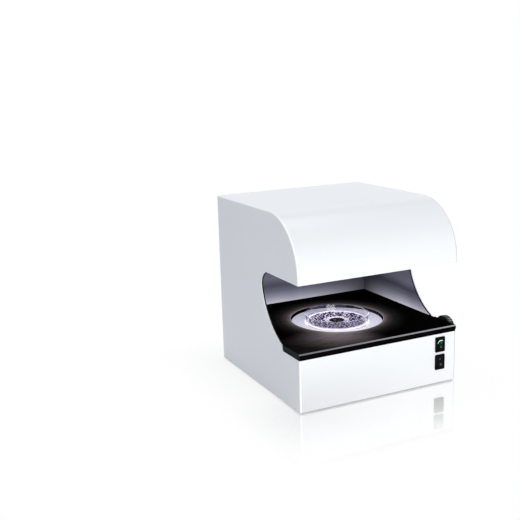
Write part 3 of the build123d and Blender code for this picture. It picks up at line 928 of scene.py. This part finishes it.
def arc_mark(mesh, middle, radius, stroke, start, end, thickness=0.12):
    """Part of a ring on the key's face, widest halfway along; a full turn is a closed, even O."""
    steps = 28
    narrowest = 0.25
    whole = end - start >= 360
    rows = []
    for step in range(steps + 1):
        share = step / steps
        angle = math.radians(start + (end - start) * share)
        width = 1.0 if whole else narrowest + (1 - narrowest) * math.sin(math.pi * share)
        half = stroke / 2 * width
        row = []
        for reach in (radius - half, radius + half):
            row.append((middle[0] + reach * math.cos(angle), middle[1] + reach * math.sin(angle)))
        rows.append(row)
    raised_patch(mesh, rows, thickness)
    bmesh.ops.remove_doubles(mesh, verts=mesh.verts, dist=1e-6)


def bar_mark(mesh, middle, width, height, thickness=0.12):
    """A short upright bar on the key's face."""
    rows = []
    for share in (-0.5, 0.0, 0.5):
        rows.append([(middle[0] + side * width, middle[1] + share * height) for side in (-0.5, 0.5)])
    raised_patch(mesh, rows, thickness)


def face_ring(mesh, middle, radius, lift):
    """A closed round row of points on the key's face."""
    segments = 40
    row = []
    for segment in range(segments):
        angle = math.tau * segment / segments
        spot = (middle[0] + radius * math.cos(angle), middle[1] + radius * math.sin(angle))
        row.append(mesh.verts.new(on_face(*spot, lift)))
    return row


def lens_mesh(middle, radius, rise):
    """A low round lens on the key's face, let into it a little."""
    rings = 6
    sunk, lift = 0.3, 0.02
    mesh = bmesh.new()
    rows = []
    for ring in range(rings):
        share = 1 - ring / rings
        rows.append(face_ring(mesh, middle, radius * share, rise * (1 - share**2) ** 0.5 + lift))
    tip = mesh.verts.new(on_face(*middle, rise + lift))
    base = face_ring(mesh, middle, radius, -sunk)
    for lower, upper in zip([base, *rows], rows):
        join_rows(mesh, lower, upper)
    close_row(mesh, rows[-1], tip)
    mesh.faces.new(list(reversed(base)))
    return mesh


def place_on_key(name, mesh, joint, body, slot, smooth_angle=35.0):
    """Set a finished mesh on its key, at the key's resting tilt."""
    mesh.transform(key_place(joint))
    return new_piece(name, mesh, body, slot, smooth_angle)


def make_power_key():
    """The power key: a green lens with a lit crescent over it, and an I and O."""
    joint, body = "power_key_tilt", "power_key"
    key = place_on_key("power_key_cap", key_mesh(), joint, body, "power_key")
    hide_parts("power_rocker")
    lens = lens_mesh(middle=(0.4, 2.3), radius=4.1, rise=0.3)
    place_on_key("power_key_lens", lens, joint, body, "power_lens", smooth_angle=60)
    crescent = bmesh.new()
    arc_mark(crescent, middle=(1.3, -0.2), radius=5.1, stroke=1.3, start=50, end=166, thickness=0.3)
    place_on_key("power_key_crescent", crescent, joint, body, "lit_mark")
    on_mark = bmesh.new()
    bar_mark(on_mark, middle=(1.5, 2.0), width=0.7, height=1.6, thickness=0.45)
    place_on_key("power_key_on_mark", on_mark, joint, body, "pale_mark")
    off_mark = bmesh.new()
    arc_mark(off_mark, middle=(0.8, -3.8), radius=1.1, stroke=0.28, start=0, end=360)
    place_on_key("power_key_off_mark", off_mark, joint, body, "pale_mark")


def make_light_key():
    """The light key: plain black, with an I above and an O below."""
    joint, body = "light_key_tilt", "light_key"
    key = place_on_key("light_key_cap", key_mesh(), joint, body, "light_key")
    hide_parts("light_rocker")
    on_mark = bmesh.new()
    bar_mark(on_mark, middle=(0.3, 3.6), width=0.6, height=1.8)
    place_on_key("light_key_on_mark", on_mark, joint, body, "pale_mark")
    off_mark = bmesh.new()
    arc_mark(off_mark, middle=(0.6, -3.6), radius=1.2, stroke=0.28, start=0, end=360)
    place_on_key("light_key_off_mark", off_mark, joint, body, "pale_mark")


# ---- Thin black bars along the chamber's side openings, standing in for the shade there ----
def tube(points, radius):
    """A closed round bar along points that all lie in one upright plane facing X."""
    sides = 8
    across = Vector((1, 0, 0))
    mesh = bmesh.new()
    rings = []
    last = len(points) - 1
    for index, point in enumerate(points):
        along = (points[min(index + 1, last)] - points[max(index - 1, 0)]).normalized()
        outward = across.cross(along)
        ring = []
        for side in range(sides):
            angle = math.tau * side / sides
            offset = (across * math.cos(angle) + outward * math.sin(angle)) * radius * MM
            ring.append(mesh.verts.new(point + offset))
        rings.append(ring)
    for ring, following in zip(rings, rings[1:]):
        join_rows(mesh, ring, following)
    mesh.faces.new(list(reversed(rings[0])))
    mesh.faces.new(rings[-1])
    return mesh


def shade_bar_path(x):
    """From the worktop up the side's cut-out, round its corner and forward under the hood."""
    arc_steps, corner_steps = 18, 12
    end_setback = 4.0
    centre_y = front_low.y + cut_centre_setback * MM
    centre_z = hood_low.z
    inner = cut_radius - cut_corner_radius
    corner_y = math.sqrt(inner**2 - cut_corner_radius**2)
    first = math.acos((centre_z - worktop_high.z) / MM / cut_radius) - math.pi / 2
    tangent = -math.atan2(cut_corner_radius, corner_y)
    points = []
    for step in range(arc_steps + 1):
        angle = first + (tangent - first) * step / arc_steps
        points.append((cut_radius * math.cos(angle), cut_radius * math.sin(angle)))
    for step in range(1, corner_steps + 1):
        angle = tangent + (math.pi / 2 - tangent) * step / corner_steps
        along = corner_y + cut_corner_radius * math.cos(angle)
        points.append((along, cut_corner_radius * (math.sin(angle) - 1)))
    points.append((end_setback - cut_centre_setback, 0.0))
    return [Vector((x, centre_y + y * MM, centre_z + z * MM)) for y, z in points]


def make_shade_bars():
    """One black bar on each side, along the chamber's inner face, standing in for the shade along the opening."""
    shade_bar_radius = 0.9
    for name, x in (("left", left_wall_high.x), ("right", right_wall_low.x)):
        bar = tube(shade_bar_path(x), shade_bar_radius)
        new_piece(f"chamber_shade_bar_{name}", bar, "housing", "black_rubber", smooth_angle=50)


# ---- Screws of the rear panel ----
def make_rear_screws():
    """Button-head screws with six-sided sockets, round the edge of the rear cover."""
    socket, socket_floor = 1.3, 0.5
    side_x = 103
    low_z, middle_z, high_z = 21, 125, 230
    sixth = math.tau / 6

    def six_sided(angle, radius):
        """How far the socket's flats lie inside its round outline."""
        if radius > socket:
            return 0.0
        from_flat = (angle % sixth) - sixth / 2
        return radius - radius * math.cos(sixth / 2) / math.cos(from_flat)

    outline = [
        (near_axis, socket_floor),
        (socket, socket_floor),
        (socket, 1.45),
        (1.8, 1.5),
        (2.5, 1.15),
        (2.9, 0.5),
        (3.0, 0.0),
        (near_axis, 0.0),
    ]
    middle = (rear_low + rear_high) / 2
    places = [(x, z) for x in (-side_x, side_x) for z in (low_z, middle_z, high_z)]
    places += [(0, low_z), (0, high_z)]
    backwards = Matrix.Rotation(math.radians(-90), 4, "X")
    for number, (x, z) in enumerate(places, start=1):
        screw = lathe(outline, 36, Vector((0, 0, 0)), six_sided)
        screw.transform(Matrix.Translation((middle.x + x * MM, rear_high.y, z * MM)) @ backwards)
        new_piece(f"rear_screw_{number}", screw, "housing", "bright_metal", smooth_angle=40)


# ---- Floor and light ----
def mix_shaders(tree, factor, first, second):
    """Two shaders mixed: the first at a factor of 0, the second at 1."""
    node = tree.nodes.new("ShaderNodeMixShader")
    for socket, output in zip(node.inputs, (factor, first, second)):
        tree.links.new(output, socket)
    return node.outputs[0]


def footprint_distance(look):
    """How far a point of the floor lies outside the housing's footprint, in metres."""
    middle = (base_low + base_high) / 2
    half = (base_high - base_low) / 2
    beyond = []
    for axis, centre, reach in (("X", middle.x, half.x), ("Y", middle.y, half.y)):
        offset = look.maths("ABSOLUTE", look.maths("SUBTRACT", look.axis(axis), centre))
        beyond.append(look.maths("SUBTRACT", offset, reach))
    return look.maths("MAXIMUM", *beyond)


def make_floor():
    """A wide floor, white to the camera except for the object's shadow and a faint reflection before it."""
    half_size = 12.0
    mesh = bmesh.new()
    bmesh.ops.create_grid(mesh, x_segments=1, y_segments=1, size=half_size)
    floor = to_object("floor", mesh)
    look = Look("floor")
    look.nodes.remove(look.shader)
    matt = look.nodes.new("ShaderNodeBsdfDiffuse")
    pale = look.ramp(look.noise(5.0), (0.0, (0.86, 0.86, 0.865, 1.0)), (1.0, (0.9, 0.9, 0.905, 1.0)))
    look.link(pale, matt.inputs["Color"])
    white = look.nodes.new("ShaderNodeEmission")
    gloss = look.nodes.new("ShaderNodeBsdfGlossy")
    gloss.inputs["Roughness"].default_value = 0.06
    gloss.inputs["Color"].default_value = WHITE

    # The veil hides the matt floor from the camera: hardly under the object, wholly 100 mm away from it,
    # and a little less on the shaded side, to the left.
    distance = footprint_distance(look)
    near = look.spread(distance, -6 * MM, 5 * MM, 0.0, 0.93, smooth=True)
    far = look.spread(distance, 0.0, 100 * MM, 0.0, 0.07)
    across = look.band(look.axis("X"), -215 * MM, -130 * MM, -130 * MM, -30 * MM)
    along = look.band(look.axis("Y"), -190 * MM, -110 * MM, 100 * MM, 220 * MM)
    shade = look.times(across, along, 0.13)
    hidden = look.maths("SUBTRACT", look.maths("ADD", near, far), shade)
    seen = look.nodes.new("ShaderNodeLightPath").outputs["Is Camera Ray"]

    # The reflection lies before the object only, and fades towards the front and the left.
    ahead = look.spread(look.axis("Y"), -262 * MM, -155 * MM, 0.0, 0.44, smooth=True)
    before = look.spread(look.axis("Y"), -130 * MM, -50 * MM, 1.0, 0.0)
    rightward = look.spread(look.axis("X"), -200 * MM, -100 * MM)

    tree = look.material.node_tree
    veiled = mix_shaders(tree, look.times(seen, hidden), matt.outputs[0], white.outputs[0])
    polished = mix_shaders(tree, look.times(ahead, before, rightward), veiled, gloss.outputs[0])
    look.link(polished, look.nodes["Material Output"].inputs["Surface"])
    floor.data.materials.append(look.material)


def make_world():
    """Even studio light from all round; the camera and gloss see a white room."""
    world = bpy.data.worlds.new("studio")
    bpy.context.scene.world = world
    world.use_nodes = True
    tree = world.node_tree
    room = tree.nodes["Background"]
    room.inputs["Color"].default_value = (0.875, 0.925, 1.0, 1.0)
    room.inputs["Strength"].default_value = 0.49
    white = tree.nodes.new("ShaderNodeBackground")
    white.inputs["Color"].default_value = WHITE
    white.inputs["Strength"].default_value = 1.0
    path = tree.nodes.new("ShaderNodeLightPath")
    direct = path.outputs["Is Camera Ray"]
    for name in ("Is Glossy Ray", "Is Transmission Ray"):
        either = tree.nodes.new("ShaderNodeMath")
        either.operation = "MAXIMUM"
        tree.links.new(direct, either.inputs[0])
        tree.links.new(path.outputs[name], either.inputs[1])
        direct = either.outputs[0]
    mixed = mix_shaders(tree, direct, room.outputs[0], white.outputs[0])
    tree.links.new(mixed, tree.nodes["World Output"].inputs["Surface"])


def area_light(name, place, power, colour=(1, 1, 1)):
    """A square soft lamp, turned towards the middle of the object."""
    aim = Vector((0.0, 0.0, 0.12))
    data = bpy.data.lights.new(name, "AREA")
    data.size = 1.2
    data.energy = power
    data.color = colour
    lamp = bpy.data.objects.new(name, data)
    lamp.location = place
    lamp.rotation_mode = "QUATERNION"
    lamp.rotation_quaternion = (aim - Vector(place)).to_track_quat("-Z", "Y")
    bpy.context.scene.collection.objects.link(lamp)


# ---- Everything, in one fixed order ----
make_camera()
materials = make_materials()
dress_cad_nodes()
make_ring()
make_seal()
make_dish()
make_medium()
make_colonies()
make_knob()
make_power_key()
make_light_key()
make_shade_bars()
make_rear_screws()
make_floor()
make_world()
area_light("front_lamp", place=(-0.3, -2.05, 0.45), power=27.0, colour=(1.0, 0.985, 0.96))
area_light("top_lamp", place=(0.2, 0.3, 1.9), power=11.0)
area_light("rear_lamp", place=(-1.0, 2.1, 0.9), power=3.0)

bpy.context.scene.view_settings.view_transform = "Standard"
